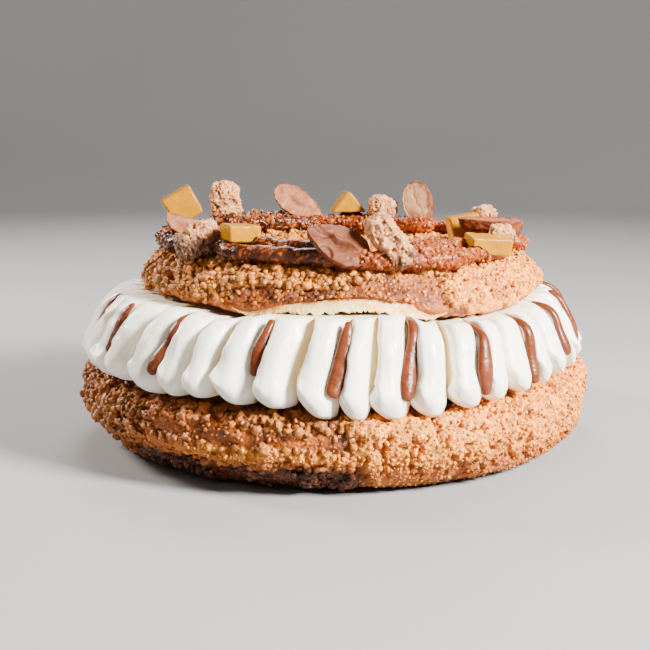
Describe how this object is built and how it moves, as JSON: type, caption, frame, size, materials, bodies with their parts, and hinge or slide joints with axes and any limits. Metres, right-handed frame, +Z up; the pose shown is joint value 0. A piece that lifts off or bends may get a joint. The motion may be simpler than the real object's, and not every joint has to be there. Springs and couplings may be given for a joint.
{
  "type": "paris-brest pastry",
  "caption": "Choux pastry ring cut in two, filled with piped cream lobes and topped with piped praline, fruit dice, nut halves and crumble; a dessert to share.",
  "frame": {"origin": "on the surface it stands on, at the centre of the ring", "axes": "+Z up; the side that faces -Y is the front"},
  "size_m": [0.1764, 0.1769, 0.0862],
  "materials": {
    "choux": "baked choux with a granular sugar crust",
    "cream": "smooth whipped cream, satin",
    "praline": "glossy nut praline with chopped grains",
    "mango": "moist cut fruit",
    "almond": "roasted nut, pale split face and brown skin",
    "crumble": "rough baked crumble",
    "chocolate": "glossy milk chocolate sauce"
  },
  "bodies": {
    "root": {"base_choux": "choux", "cream": "cream", "lid_choux": "choux", "praline_cord": "praline", "mango_left": "mango", "mango_front_left": "mango", "mango_back": "mango", "mango_right_back": "mango", "mango_right": "mango", "almond_left": "almond", "almond_back": "almond", "almond_front": "almond", "almond_standing": "almond", "almond_right": "almond", "crumble_back_left": "crumble", "crumble_left": "crumble", "crumble_front": "crumble", "crumble_back": "crumble", "crumble_right_back": "crumble", "crumble_right": "crumble"}
  },
  "joints": []
}
